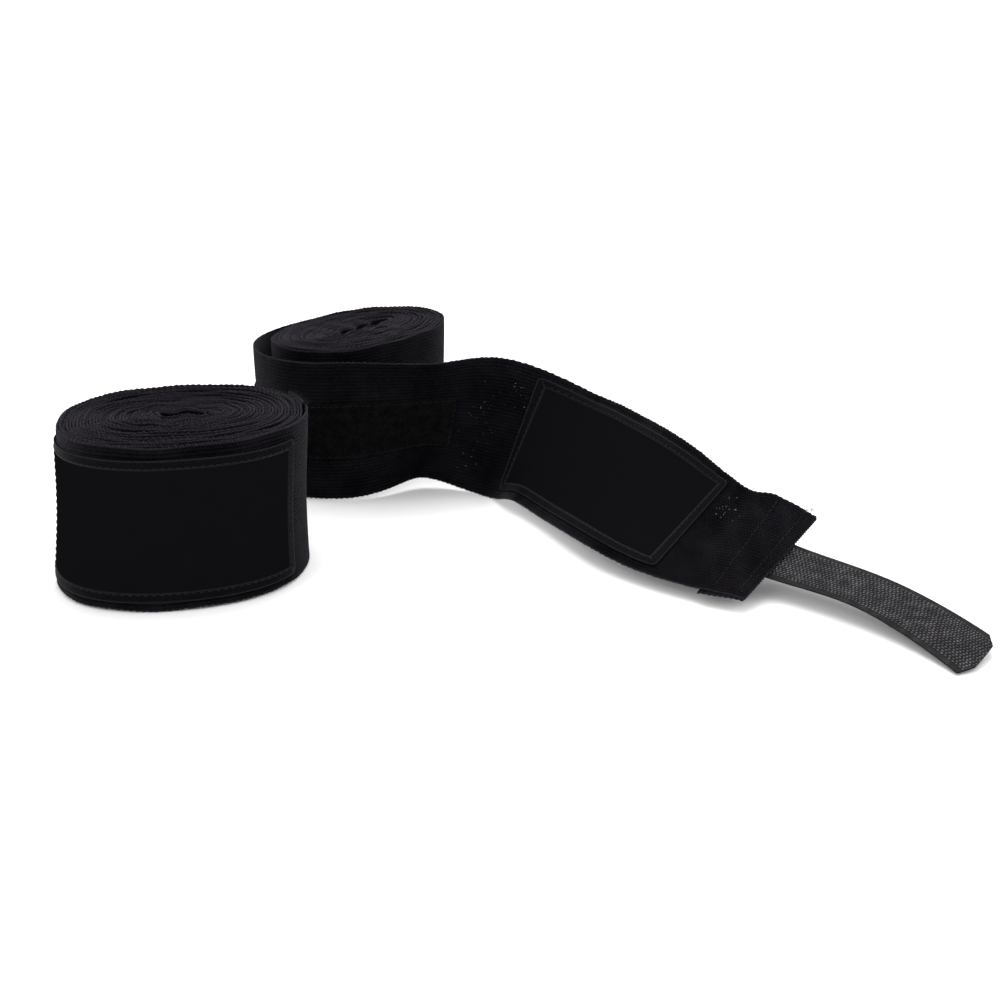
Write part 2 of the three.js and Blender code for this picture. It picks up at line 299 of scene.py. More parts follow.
def path_b():
    coil, coil_across, coil_outward = coil_stations(WRAP_B, lifted=False)
    s, points, across, outward = loose_stations()
    settle = settled_roll(WRAP_B, waist=0.25, foot=0.2, lumps=0.12, core_wave=0.7)
    return Path(
        np.concatenate([lengths_to(coil, 0)[:-1], s]),
        np.concatenate([coil[:-1], points]),
        np.concatenate([coil_across[:-1], across]),
        np.concatenate([coil_outward[:-1], outward]),
        lambda placed: settle_near_roll(settle, placed),
        tail_relief,
    )


def settle_near_roll(settle, points):
    """Wrap B's roll settles, and its laid-out end keeps its place."""
    away = np.linalg.norm(points[..., :2] - np.array(WRAP_B["centre"]), axis=-1)
    share = 1 - smoothstep(away, 42, 60)
    return points + (settle(points) - points) * share[..., None]


def hemmed(path, end, skew):
    """The path with the band's end folded back on its inner side, and the fold's last place.

    skew slides the fold across.
    """
    point, across, outward = (path.mix(values, end) for values in (path.points, path.across, path.outward))
    along = np.cross(across, outward)
    keep = path.s < end
    bend = np.linspace(0, math.pi, 9)
    around = point - outward * HEM_RADIUS
    bend_out = np.outer(np.cos(bend), outward) + np.outer(np.sin(bend), along)
    back = np.arange(0.5, HEM_LENGTH + 0.5, 0.5)
    at = end - back
    slide = skew * smoothstep(back, 0, HEM_LENGTH)
    fold = path.mix(path.points, at) - path.mix(path.outward, at) * 2 * HEM_RADIUS
    fold = fold + path.mix(path.across, at) * slide[:, None]
    bend_s = end + bend * HEM_RADIUS

    def relief(s, x):
        folded = np.clip((s - end) / (math.pi * HEM_RADIUS), 0, 1)
        real_s = np.where(s > bend_s[-1], end - (s - bend_s[-1]), np.minimum(s, end))
        return path.relief(real_s, x) * np.cos(math.pi * folded)

    bent = Path(
        np.concatenate([path.s[keep], bend_s, bend_s[-1] + back]),
        np.concatenate([path.points[keep], around + bend_out * HEM_RADIUS, fold]),
        np.concatenate([path.across[keep], np.tile(across, (len(bend), 1)), path.mix(path.across, at)]),
        np.concatenate([path.outward[keep], bend_out, -path.mix(path.outward, at)]),
        path.settle,
        relief,
    )
    return bent, bend_s[-1] + back[-1]


# ---- meshes ----


def mesh_object(name, vertices, faces, cloth, material):
    """cloth is each vertex's (s, x, level), which the materials read as the attribute of that name."""
    mesh = bpy.data.meshes.new(name)
    mesh.from_pydata(vertices.reshape(-1, 3).tolist(), [], faces)
    attribute = mesh.attributes.new("cloth", "FLOAT_VECTOR", "POINT")
    attribute.data.foreach_set("vector", np.ascontiguousarray(cloth, np.float32).ravel())
    mesh.polygons.foreach_set("use_smooth", [True] * len(mesh.polygons))
    mesh.materials.append(material)
    obj = bpy.data.objects.new(name, mesh)
    bpy.context.scene.collection.objects.link(obj)
    return obj


def grid_faces(rows, columns, wrap_rows=False):
    """Quads of a grid of vertices, row by row. Each row is a ring."""
    i = np.arange(rows if wrap_rows else rows - 1)[:, None]
    j = np.arange(columns)[None, :]
    i2, j2 = (i + 1) % rows, (j + 1) % columns
    corners = [i * columns + j, i2 * columns + j, i2 * columns + j2, i * columns + j2]
    return np.stack([np.broadcast_to(c, (i.size, j.size)) for c in corners], -1).reshape(-1, 4)


def cap_faces(first, second, count):
    """Quads that close a flat ring whose first half runs one way across and whose second runs back."""
    half = count // 2
    k = np.arange(half - 1)
    quads = np.stack([k, k + 1, count - 2 - k, count - 1 - k], -1)
    return (first + quads[:, ::-1]).tolist() + (second + quads).tolist()


def loft(name, path, s, x, level, material, slide=None):
    """A closed slab. x and level hold a ring of places for each s: out along the outer face, then back."""
    s = np.broadcast_to(s[:, None], x.shape)
    vertices = path.place(s if slide is None else slide(s, x), x, level)
    rows, columns = x.shape
    faces = grid_faces(rows, columns).tolist() + cap_faces(0, (rows - 1) * columns, columns)
    return mesh_object(name, vertices, faces, np.stack([s, x, level], -1), material)


def slab(name, path, start, end, step, lines, low, high, material, narrow=None, rough=None, slide=None):
    """A slab with soft edges between two levels. lines are its places across, from the lower edge up."""
    s = np.linspace(start, end, max(2, round((end - start) / step) + 1))
    middle, half = (low + high) / 2, (high - low) / 2
    ring_x = np.concatenate([lines, lines[::-1]])
    inset = np.ones(len(lines))
    inset[[0, -1]] = 0.35
    ring_level = np.concatenate([middle + half * inset, middle - half * inset])
    x = np.tile(ring_x, (len(s), 1))
    level = np.tile(ring_level, (len(s), 1))
    if narrow is not None:
        x = x * narrow(s)[:, None]
    if rough is not None:
        level = level + rough(s[:, None], x) * (level > middle)
    return loft(name, path, s, x, level, material, slide)


def tubes(name, lines, radii, sides, up, material, cloth=None):
    """Many small closed tubes in one mesh. lines is (tubes, points, 3) in metres, and radii per point."""
    count, points = lines.shape[:2]
    along = unit(np.gradient(lines, axis=1))
    aside = unit(np.cross(along, np.broadcast_to(up, lines.shape)))
    over = np.cross(aside, along)
    angle = np.arange(sides) * 2 * math.pi / sides
    radii = np.broadcast_to(radii, (count, points))[..., None, None] * MM
    around = np.cos(angle)[:, None] * aside[:, :, None, :] + np.sin(angle)[:, None] * over[:, :, None, :]
    vertices = lines[:, :, None, :] + around * radii
    one = grid_faces(points, sides)
    offsets = np.arange(count)[:, None, None] * points * sides
    faces = (one[None] + offsets).reshape(-1, 4).tolist()
    ring = np.arange(sides)
    starts = np.arange(count)[:, None] * points * sides
    faces += (starts + ring[::-1]).tolist() + (starts + (points - 1) * sides + ring).tolist()
    if cloth is None:
        cloth = lines / MM
    cloth = np.broadcast_to(cloth[:, :, None, :], vertices.shape)
    return mesh_object(name, vertices, faces, cloth, material)


# ---- materials ----


class Nodes:
    """A material under construction: nodes are added by type and linked by socket."""

    def __init__(self, name, **shader):
        self.material = bpy.data.materials.new(name)
        self.material.use_nodes = True
        self.tree = self.material.node_tree
        self.shader = self.tree.nodes["Principled BSDF"]
        for socket, value in shader.items():
            self.shader.inputs[socket.replace("_", " ")].default_value = value

    def add(self, kind, inputs=None, **settings):
        node = self.tree.nodes.new(kind)
        for key, value in settings.items():
            setattr(node, key, value)
        for key, value in (inputs or {}).items():
            if isinstance(value, bpy.types.NodeSocket):
                self.tree.links.new(value, node.inputs[key])
            else:
                node.inputs[key].default_value = value
        return node

    def math(self, operation, *values):
        return self.add("ShaderNodeMath", dict(enumerate(values)), operation=operation).outputs[0]

    def total(self, *weighted):
        """The sum of sockets, each given with its weight."""
        total = None
        for socket, weight in weighted:
            part = self.math("MULTIPLY", socket, weight)
            total = part if total is None else self.math("ADD", total, part)
        return total

    def cloth(self):
        """Sockets for s, x, level and the vector of all three, in mm."""
        vector = self.add("ShaderNodeAttribute", attribute_name="cloth").outputs["Vector"]
        return *self.add("ShaderNodeSeparateXYZ", {0: vector}).outputs, vector

    def noise(self, vector, scale, detail=3.0, roughness=0.6):
        inputs = {"Vector": vector, "Scale": scale, "Detail": detail, "Roughness": roughness}
        return self.add("ShaderNodeTexNoise", inputs).outputs["Fac"]

    def colours(self, factor, *stops):
        """A ramp of (position, (r, g, b)) stops."""
        ramp = self.add("ShaderNodeValToRGB", {"Fac": factor})
        elements = ramp.color_ramp.elements
        while len(elements) < len(stops):
            elements.new(0.5)
        for element, (position, colour) in zip(elements, stops):
            element.position = position
            element.color = (*colour, 1)
        return ramp.outputs["Color"]

    def finish(self, colour, roughness, height, strength, distance):
        bump = self.add("ShaderNodeBump", {"Height": height, "Strength": strength, "Distance": distance})
        self.tree.links.new(colour, self.shader.inputs["Base Color"])
        self.tree.links.new(roughness, self.shader.inputs["Roughness"])
        self.tree.links.new(bump.outputs["Normal"], self.shader.inputs["Normal"])
        return self.material


def waves(nodes, position, pitch, phase=0.0):
    """A sine of a place, from -1 to 1, repeating every pitch."""
    return nodes.math("SINE", nodes.math("MULTIPLY_ADD", position, 2 * math.pi / pitch, phase))


def cotton_material():
    """Ribbed cotton twill: lengthwise ribs crossed by slanting yarns, with fuzz, faded patches and a painted
    highlight on both woven edges.
    """
    nodes = Nodes("cotton_webbing", Sheen_Weight=0.125, Sheen_Roughness=0.28, Specular_IOR_Level=0.0)
    nodes.shader.inputs["Sheen Tint"].default_value = (0.86, 0.83, 0.93, 1)
    s, x, _, vector = nodes.cloth()
    slope = nodes.math("MULTIPLY", s, 0.75)
    yarn = waves(nodes, nodes.math("ADD", x, slope), 0.7)
    rib = waves(nodes, x, RIB_PITCH, math.pi / 2)
    fuzz = nodes.noise(vector, 2.2, 5.0, 0.7)
    patches = nodes.noise(vector, 0.06, 4.0, 0.6)
    # Both woven edges are painted lighter than the faces, a painted highlight for the light that the coil
    # tops catch.
    edge = nodes.math("GREATER_THAN", nodes.math("ABSOLUTE", x), HALF_BAND - 0.6)
    height = nodes.total((yarn, 0.5), (rib, 0.35), (fuzz, 1.6))
    shade = nodes.total((yarn, 0.15), (rib, 0.07), (fuzz, 0.7), (patches, 0.45), (edge, 0.23))
    stops = ((0.3, (0.0006, 0.0006, 0.0008)), (0.6, (0.0022, 0.0021, 0.0026)), (0.95, (0.019, 0.017, 0.022)))
    colour = nodes.colours(shade, *stops)
    roughness = nodes.math("MULTIPLY_ADD", fuzz, 0.2, 0.78)
    return nodes.finish(colour, roughness, height, 0.7, 0.00018)


def label_material():
    """Flat label cloth with a very fine plain weave."""
    nodes = Nodes("label_cloth", Specular_IOR_Level=0.0)
    s, x, _, vector = nodes.cloth()
    weave = nodes.math("MULTIPLY", waves(nodes, s, 0.42), waves(nodes, x, 0.42))
    mottle = nodes.noise(vector, 0.12, 3.0, 0.5)
    shade = nodes.total((mottle, 0.8), (weave, 0.05))
    colour = nodes.colours(shade, (0.2, (0.0037, 0.0037, 0.0043)), (0.7, (0.0041, 0.0041, 0.0048)))
    roughness = nodes.math("MULTIPLY_ADD", mottle, 0.12, 0.52)
    return nodes.finish(colour, roughness, weave, 0.25, 0.00005)


def border_material():
    """The label's woven edge: fine cross threads, with a painted highlight along its two rims."""
    nodes = Nodes("label_edge", Sheen_Weight=0.05, Sheen_Roughness=0.25, Specular_IOR_Level=0.03)
    s, x, across, vector = nodes.cloth()
    # The strip's outer rims, where it bevels down, are painted lighter: a painted highlight.
    rim_highlight = nodes.math("GREATER_THAN", nodes.math("ABSOLUTE", across), 0.36)
    threads = nodes.math("ADD", waves(nodes, s, 0.55), waves(nodes, x, 0.55))
    fuzz = nodes.noise(vector, 1.5, 4.0, 0.6)
    shade = nodes.total((threads, 0.08), (fuzz, 0.7), (rim_highlight, 0.38))
    colour = nodes.colours(shade, (0.35, (0.001, 0.001, 0.0013)), (0.8, (0.0118, 0.0118, 0.014)))
    roughness = nodes.math("MULTIPLY_ADD", fuzz, 0.2, 0.55)
    return nodes.finish(colour, roughness, threads, 0.5, 0.0001)


def thread_material():
    """Twisted sewing thread."""
    nodes = Nodes("sewing_thread", Sheen_Weight=0.05, Sheen_Roughness=0.3, Specular_IOR_Level=0.1)
    s, x, _, vector = nodes.cloth()
    twist = waves(nodes, nodes.math("ADD", s, x), 0.35)
    fuzz = nodes.noise(vector, 3.0, 3.0, 0.6)
    shade = nodes.total((twist, 0.15), (fuzz, 1.0))
    colour = nodes.colours(shade, (0.2, (0.0026, 0.0026, 0.003)), (0.8, (0.0115, 0.0115, 0.013)))
    roughness = nodes.math("MULTIPLY_ADD", fuzz, 0.2, 0.5)
    return nodes.finish(colour, roughness, twist, 0.6, 0.00008)


def hook_ground_material():
    """Nylon hook tape: bumps on a dark ground, painted paler on their tops and darker between them as painted
    highlight and painted shade, and plain edges with fine cross ribs.
    """
    nodes = Nodes("hook_tape_nylon", Sheen_Weight=0.02, Sheen_Roughness=0.3, Specular_IOR_Level=0.1)
    s, x, level, vector = nodes.cloth()
    edge = nodes.math("GREATER_THAN", nodes.math("ABSOLUTE", x), TAPE_WIDTH / 2 - HOOK_SELVEDGE + 0.1)
    cross = nodes.math("MULTIPLY", waves(nodes, s, 0.55), edge)
    fuzz = nodes.noise(vector, 2.5, 4.0, 0.65)
    blotches = nodes.noise(vector, 0.3, 3.0, 0.6)
    blotches = nodes.math("SUBTRACT", blotches, 0.55)
    # Colour follows the bumps' height: paler on top is painted highlight, darker between them is painted
    # shade.
    raised = nodes.math("SUBTRACT", level, HOOK_GROUND)
    shade = nodes.total((raised, 0.62 / HOOK_BUMP), (edge, 0.14), (fuzz, 0.4), (blotches, 0.8), (cross, 0.07))
    dark, middle, pale = (0.0012, 0.0011, 0.0013), (0.018, 0.0168, 0.0195), (0.13, 0.122, 0.137)
    colour = nodes.colours(shade, (0.22, dark), (0.5, middle), (0.9, pale))
    roughness = nodes.math("MULTIPLY_ADD", fuzz, 0.2, 0.45)
    return nodes.finish(colour, roughness, nodes.math("ADD", cross, fuzz), 0.4, 0.00008)


def hook_material():
    """Stiff nylon hooks."""
    nodes = Nodes("nylon_hooks", Specular_IOR_Level=0.3)
    *_, vector = nodes.cloth()
    fuzz = nodes.noise(vector, 1.0, 2.0, 0.5)
    colour = nodes.colours(fuzz, (0.3, (0.03, 0.03, 0.032)), (0.7, (0.09, 0.09, 0.094)))
    roughness = nodes.math("MULTIPLY_ADD", fuzz, 0.15, 0.3)
    return nodes.finish(colour, roughness, fuzz, 0.1, 0.00005)


def loop_material():
    """Brushed loop pile, matt, with a nap that catches light in patches."""
    nodes = Nodes("loop_tape_pile", Sheen_Weight=0.03, Sheen_Roughness=0.3, Specular_IOR_Level=0.0)
    *_, vector = nodes.cloth()
    curls = nodes.add("ShaderNodeTexVoronoi", {"Vector": vector, "Scale": 1.6}).outputs["Distance"]
    nap = nodes.noise(vector, 0.35, 4.0, 0.6)
    shade = nodes.total((curls, 0.35), (nap, 0.9))
    colour = nodes.colours(shade, (0.35, (0.0014, 0.0014, 0.0016)), (0.85, (0.0055, 0.0054, 0.006)))
    roughness = nodes.math("MULTIPLY_ADD", nap, 0.15, 0.82)
    return nodes.finish(colour, roughness, curls, 0.8, 0.00025)


def lint_material():
    """Pale cotton lint."""
    nodes = Nodes("lint", Sheen_Weight=0.3)
    *_, vector = nodes.cloth()
    fuzz = nodes.noise(vector, 1.3, 2.0, 0.5)
    colour = nodes.colours(fuzz, (0.3, (0.04, 0.04, 0.043)), (0.7, (0.3, 0.295, 0.285)))
    roughness = nodes.math("MULTIPLY_ADD", fuzz, 0.1, 0.85)
    return nodes.finish(colour, roughness, fuzz, 0.1, 0.00003)


# ---- the bands ----


def wander(s):
    """How far up or down each turn of a roll sits, as no two turns were wound quite level."""
    return ripple(s, (0.22, 61, 0.3), (0.16, 23.7, 1.1), (0.2, 347, 2.0)) + 0.5


def edge_ring(s):
    """The woven edge's ring of places past a band's upper edge, for each s: a row of yarn loops."""
    phase = 2 * math.pi * s[:, None] / SCALLOP
    uneven = 1 + 0.6 * np.sin(phase) + 0.3 * np.sin(phase * 0.43 + 1) * np.sin(phase * 0.071)
    out = np.array([0.0, 0.2, 0.28, 0.2, 0.0]) * uneven
    level = np.array([0.3, 0.2, 0.0, -0.2, -0.3]) + 0.1 * np.sin(phase + 1.2)
    return out, level


def band_ring(s, face_lines, back_lines, rib_height, drift):
    """The band's cross ring at each s: outer face, upper edge, inner face, lower edge."""
    half = HALF_BAND - 0.25
    out, edge_level = edge_ring(s)
    ribs = rib_height * np.cos(2 * math.pi * face_lines / RIB_PITCH)
    rows = len(s)
    face_x = np.tile(face_lines, (rows, 1))
    back_x = np.tile(back_lines[::-1], (rows, 1))
    face_level = np.tile(BAND_THICK / 2 + ribs, (rows, 1))
    back_level = np.tile(np.full(len(back_lines), -BAND_THICK / 2), (rows, 1))
    x = np.concatenate([face_x, half + out, back_x, -half - out[:, ::-1]], axis=1)
    level = np.concatenate([face_level, edge_level, back_level, edge_level[:, ::-1]], axis=1)
    return x + drift[:, None], level


def band(name, path, start, end, face_lines, back_lines, rib_height, drift, material):
    s = np.linspace(start, end, round((end - start) / BAND_STEP) + 1)
    x, level = band_ring(s, face_lines, back_lines, rib_height, drift(s))
    places = np.broadcast_to(s[:, None], x.shape)
    vertices = path.place(places, x, level)
    rows, columns = x.shape
    faces = grid_faces(rows, columns).tolist()
    ring = np.arange(columns)
    faces += [ring[::-1].tolist(), (ring + (rows - 1) * columns).tolist()]
    cloth = np.stack([places, x - drift(s)[:, None], level], -1)
    return mesh_object(name, vertices, faces, cloth, material)


def rib_lines():
    count = int((HALF_BAND - 0.6) / (RIB_PITCH / 2))
    return np.arange(-count, count + 1) * RIB_PITCH / 2


FACE_HALF = HALF_BAND - 0.7  # where the band's flat faces end, short of its woven edges
CORE_LINES = np.array([-FACE_HALF, FACE_HALF])
BACK_LINES = np.linspace(-FACE_HALF, FACE_HALF, 21)
OUTER_TURNS = 1.35  # how much of a roll is in its detailed outer part


def turn_length(wrap, turns):
    """How far back from the outer end of a roll so many turns reach."""
    turn = np.linspace(turns, 0, 400)
    return -lengths_to(coil_point(wrap, turn), 0)[0]


def add_bands(prefix, path, wrap, end, drift, skew, material):
    """A band in two lengths, its core and its detailed outer part, which ends in the folded hem."""
    length = -path.s[0]
    meet = -turn_length(wrap, OUTER_TURNS)
    bent, last = hemmed(path, end, skew)
    core = band(f"{prefix}_band_core", path, -length, meet, CORE_LINES, CORE_LINES, 0.0, drift, material)
    outer = band(
        f"{prefix}_band_outer", bent, meet, last, rib_lines(), BACK_LINES, RIB_HEIGHT, drift, material
    )
    return core, outer


# ---- the sewn pieces ----


def rectangle_outline(from_s, to_s, half, corner, step=0.8):
    """Places and outward directions round a rectangle with round corners, in (s, x)."""
    places, outward = [], []
    corners = (
        (to_s - corner, half - corner, 0),
        (from_s + corner, half - corner, 90),
        (from_s + corner, -half + corner, 180),
        (to_s - corner, -half + corner, 270),
    )
    for k, (cs, cx, start) in enumerate(corners):
        for angle in np.radians(np.linspace(start, start + 90, 5)):
            direction = (math.cos(angle), math.sin(angle))
            places.append((cs + corner * direction[0], cx + corner * direction[1]))
            outward.append(direction)
        ns, nx, nstart = corners[(k + 1) % 4]
        angle = math.radians(nstart)
        ahead = (ns + corner * math.cos(angle), nx + corner * math.sin(angle))
        gap = math.dist(places[-1], ahead)
        count = int(gap / step)
        here = places[-1]
        for m in range(1, count):
            t = m / count
            places.append((here[0] + (ahead[0] - here[0]) * t, here[1] + (ahead[1] - here[1]) * t))
            outward.append((math.cos(angle), math.sin(angle)))
    return np.array(places), np.array(outward)


def strip_loop(name, path, places, outward, width, low, high, material):
    """A flat strip round a closed outline. Its cloth attribute ends with the place across the strip."""
    across = np.array([-0.5, -0.4, 0.4, 0.5, 0.5, -0.5]) * width
    middle = (low + high) / 2
    level = np.array([middle, high, high, middle, low, low])
    s = places[:, :1] + outward[:, :1] * across
    x = places[:, 1:] + outward[:, 1:] * across
    levels = np.tile(level, (len(places), 1))
    vertices = path.place(s, x, levels)
    faces = grid_faces(len(places), len(across), wrap_rows=True)
    cloth = np.stack([s, x, np.broadcast_to(across / width, s.shape)], -1)
    return mesh_object(name, vertices, faces.tolist(), cloth, material)


def stitch_lines(path, run, level):
    """Centrelines of the stitches along a run of (s, x) places. Each dips into the cloth at its ends."""
    steps = np.linalg.norm(np.diff(run, axis=0), axis=1)
    total = np.concatenate([[0], np.cumsum(steps)])
    middles = np.arange(STITCH_PITCH / 2, total[-1], STITCH_PITCH)
    t = np.linspace(-0.5, 0.5, 6)
    at = middles[:, None] + t * STITCH_LENGTH
    s, x = (np.interp(at, total, run[:, k]) for k in range(2))
    arch = level + STITCH_HEIGHT * (1 - (2 * t) ** 4)
    return path.place(s, x, arch), path.outward_at(s)


def add_stitches(name, path, runs, level, radius, material):
    made = [stitch_lines(path, np.asarray(run, float), level) for run in runs]
    lines = np.concatenate([line for line, _ in made])
    up = np.concatenate([outward for _, outward in made])
    radii = radius * np.array([0.5, 0.9, 1, 1, 0.9, 0.5])
    return tubes(name, lines, radii, 6, up, material)


def add_label(prefix, path, start, materials):
    """The label, its raised edge and the sewing through the edge."""
    end = start + LABEL_LENGTH
    half = LABEL_WIDTH / 2
    lines = np.concatenate([[-half], np.linspace(-half + 0.3, half - 0.3, 15), [half]])
    name = f"{prefix}_label"
    label = slab(f"{name}_cloth", path, start, end, 1.5, lines, SEWN_LOW, LABEL_HIGH, materials["label"])
    middle = LABEL_BORDER / 2
    outline = rectangle_outline(start + middle, end - middle, half - middle, 0.3)
    low, high = LABEL_HIGH - 0.1, LABEL_HIGH + 0.16
    border = strip_loop(f"{name}_edge", path, *outline, LABEL_BORDER, low, high, materials["border"])
    inner = outline[0] - outline[1] * 0.85
    run = np.concatenate([inner, inner[:1]])
    level = LABEL_HIGH + 0.06
    stitches = add_stitches(f"{name}_stitches", path, [run], level, LABEL_STITCH, materials["thread"])
    return label, border, stitches


def add_hem_stitches(prefix, path, end, materials):
    """Two lines of stitches across the hem."""
    made = []
    half = LABEL_WIDTH / 2
    for k, inset in enumerate(HEM_STITCH_INSETS):
        run = [(end - inset, -half), (end - inset, half)]
        name = f"{prefix}_hem_stitches_{k + 1}"
        made.append(add_stitches(name, path, [run], BAND_THICK / 2, FINE_STITCH, materials["thread"]))
    return made


def add_loop_tape(prefix, path, start, end, materials, seed):
    """The loop tape: a ground, its pile of small loops, and the sewing along its edges."""
    random = np.random.default_rng(seed)
    half = TAPE_WIDTH / 2
    lines = np.linspace(-half, half, 33)
    name = f"{prefix}_loop"

    def nap(s, x):
        return ripple(s, (0.05, 3.1, 0.2), (0.04, 1.9, 1.0)) * np.sin(x * 2.3 + s * 0.4)

    ground = slab(
        f"{name}_tape_cloth", path, start, end, 0.9, lines, SEWN_LOW, LOOP_HIGH, materials["loop"], rough=nap
    )
    s = random.uniform(start + 1.2, end - 1.2, LOOP_COUNT)
    x = random.uniform(-half + 1.8, half - 1.8, LOOP_COUNT)
    turn = random.uniform(0, 2 * math.pi, LOOP_COUNT)
    t = np.linspace(-1, 1, 5)
    reach = random.uniform(0.25, 0.5, (LOOP_COUNT, 1))
    loop_s = s[:, None] + np.cos(turn)[:, None] * t * reach
    loop_x = x[:, None] + np.sin(turn)[:, None] * t * reach
    loop_level = LOOP_HIGH - 0.1 + random.uniform(0.25, 0.5, (LOOP_COUNT, 1)) * (1 - t**2)
    lines = path.place(loop_s, loop_x, loop_level)
    cloth = np.stack([loop_s, loop_x, loop_level], -1)
    up = path.outward_at(loop_s) + 0.01
    pile = tubes(f"{name}_pile", lines, PILE_RADIUS, 3, up, materials["loop"], cloth)
    edge = half - 0.8
    runs = [[(start + 1, edge), (end - 1, edge)], [(start + 1, -edge), (end - 1, -edge)]]
    runs += [[(start + 1, -edge), (start + 1, edge)], [(end - 1, -edge), (end - 1, edge)]]
    level = LOOP_HIGH - 0.02
    stitches = add_stitches(f"{name}_tape_stitches", path, runs, level, FINE_STITCH, materials["thread"])
    return ground, pile, stitches


def add_hook_tape(prefix, path, edge, level, tucked, sunk, materials):
    """The hook tape: a bumpy woven ground with plain edges, and rows of hooks on its inner side.

    edge is the hem's edge on the path. The tape starts tucked mm before it, sunk mm below its own level.
    """
    root = edge + HOOK_ROOT_GAP
    start, end = edge - tucked, root + HOOK_LENGTH
    half = TAPE_WIDTH / 2
    field = half - HOOK_SELVEDGE

    def relief(s, x):
        return path.relief(s, x) + level - sunk * (1 - smoothstep(s, edge + 0.6, root + RISE_OVER))

    lifted = Path(path.s, path.points, path.across, path.outward, path.settle, relief)

    def askew(s, x):
        return s - HOOK_ASKEW * x / half * smoothstep(s, end - ASKEW_OVER, end)

    def narrow(s):
        return 1 - np.clip((s - end + HOOK_CORNER) / HOOK_CORNER, 0, 1) * HOOK_CORNER / half

    def bumps(s, x):
        row = np.round(x / HOOK_PITCH_X)
        stagger = (row % 2) * HOOK_PITCH_S / 2 + 0.15 * np.sin(row * 2.1)
        along = np.cos(2 * math.pi * (s + stagger) / HOOK_PITCH_S)
        across = np.cos(2 * math.pi * x / HOOK_PITCH_X)
        inside = 1 - smoothstep(np.abs(x), field - 0.3, field + 0.3)
        blob = smoothstep(along + 0.7 * across, -0.4, 1.5)
        selvedge_ribs = 0.02 * np.cos(2 * math.pi * s / 0.6)
        return HOOK_BUMP * (0.05 + 0.95 * blob) * inside + selvedge_ribs * (1 - inside)

    lines = np.linspace(-half, half, 107)
    name, material = f"{prefix}_hook_tape_cloth", materials["hook_ground"]
    ground = slab(name, lifted, start, end, 0.25, lines, 0, HOOK_GROUND, material, narrow, bumps, askew)
    apart = HOOK_PITCH_X * 1.2
    rows_s = np.arange(root + 2, end - 2.5, HOOK_PITCH_S)
    rows_x = np.arange(-field + 0.5, field, apart)
    s, x = (values.ravel() for values in np.meshgrid(rows_s, rows_x))
    lean = np.where(np.round(x / apart) % 2 == 0, 1, -1)[:, None]
    hook_s = s[:, None] + lean * np.array([0.0, 0.0, 0.1, 0.35, 0.5, 0.48])
    hook_level = 0.1 - np.array([0.0, 0.35, 0.52, 0.58, 0.48, 0.36])
    hook_x = np.broadcast_to(x[:, None], hook_s.shape)
    hook_level = np.broadcast_to(hook_level, hook_s.shape)
    lines = lifted.place(askew(hook_s, hook_x), hook_x, hook_level)
    up = np.broadcast_to(unit(path.mix(path.across, hook_s)), lines.shape)
    cloth = np.stack([hook_s, hook_x, hook_level], -1)
    radii = np.array([0.1, 0.09, 0.09, 0.08, 0.07, 0.05])
    hooks = tubes(f"{prefix}_hooks", lines, radii, 4, up, materials["hook"], cloth)
    return ground, hooks


def add_thumb_loop(prefix, wrap, settle, material):
    """The thumb loop: a narrow tape doubled back on itself, flat in the roll's core."""
    half = THUMB_LENGTH / 2
    bend, slit, thick = 1.2, 0.5, 0.62
    angles = np.radians(np.linspace(-90, 90, 9))
    there = np.linspace(-half, half - bend, 12)
    x = np.concatenate([there, half - bend + bend * np.cos(angles), there[::-1]])
    y = np.concatenate([np.full(12, -slit), slit * np.sin(angles), np.full(12, slit)])
    plan = np.stack([x, y], -1)
    along = unit(np.gradient(plan, axis=0))
    turned = math.radians(wrap["turned_by"])
    rotate = np.array([[math.cos(turned), math.sin(turned)], [-math.sin(turned), math.cos(turned)]])
    plan, along = plan @ rotate + np.array(wrap["centre"]), along @ rotate
    points = np.column_stack([plan, np.full(len(plan), HALF_BAND)])
    across = np.tile([0.0, 0.0, 1.0], (len(plan), 1))
    outward = np.column_stack([along[:, 1], -along[:, 0], np.zeros(len(plan))])
    s = lengths_to(points, 0)
    path = Path(s, points, across, outward, settle)
    lines = np.linspace(-TAPE_WIDTH / 2, TAPE_WIDTH / 2, 17)
    loop = slab(f"{prefix}_thumb_loop_cloth", path, s[0], 0, 0.4, lines, 0.05, thick, material)
    return loop


# ---- loose fibres ----


def add_fuzz(name, path, span, count, seed, material, length=(0.5, 1.3), edges=(1,), drift=None):
    """Short cotton fibres that stand out of a band's edges. drift is how far the band sits up or down."""
    random = np.random.default_rng(seed)
    s = random.uniform(*span, count)[:, None]
    side = random.choice(edges, count)[:, None]
    t = np.linspace(0, 1, 4)
    reach = random.uniform(*length, (count, 1))
    sway = random.normal(0, 0.5, (count, 1))
    curl = random.normal(0, 0.35, (count, 1))
    fibre_s = s + reach * (sway * t + curl * t**2)
    fibre_x = side * (HALF_BAND + reach * 0.55 * t) + (drift(s) if drift else 0)
    fibre_level = random.uniform(-0.3, 0.3, (count, 1)) + reach * random.normal(0, 0.5, (count, 1)) * t
    lines = path.place(fibre_s, fibre_x, fibre_level)
    up = path.outward_at(fibre_s) + 0.013
    return tubes(name, lines, FIBRE_RADIUS * np.array([1, 1, 0.8, 0.4]), 3, up, material)


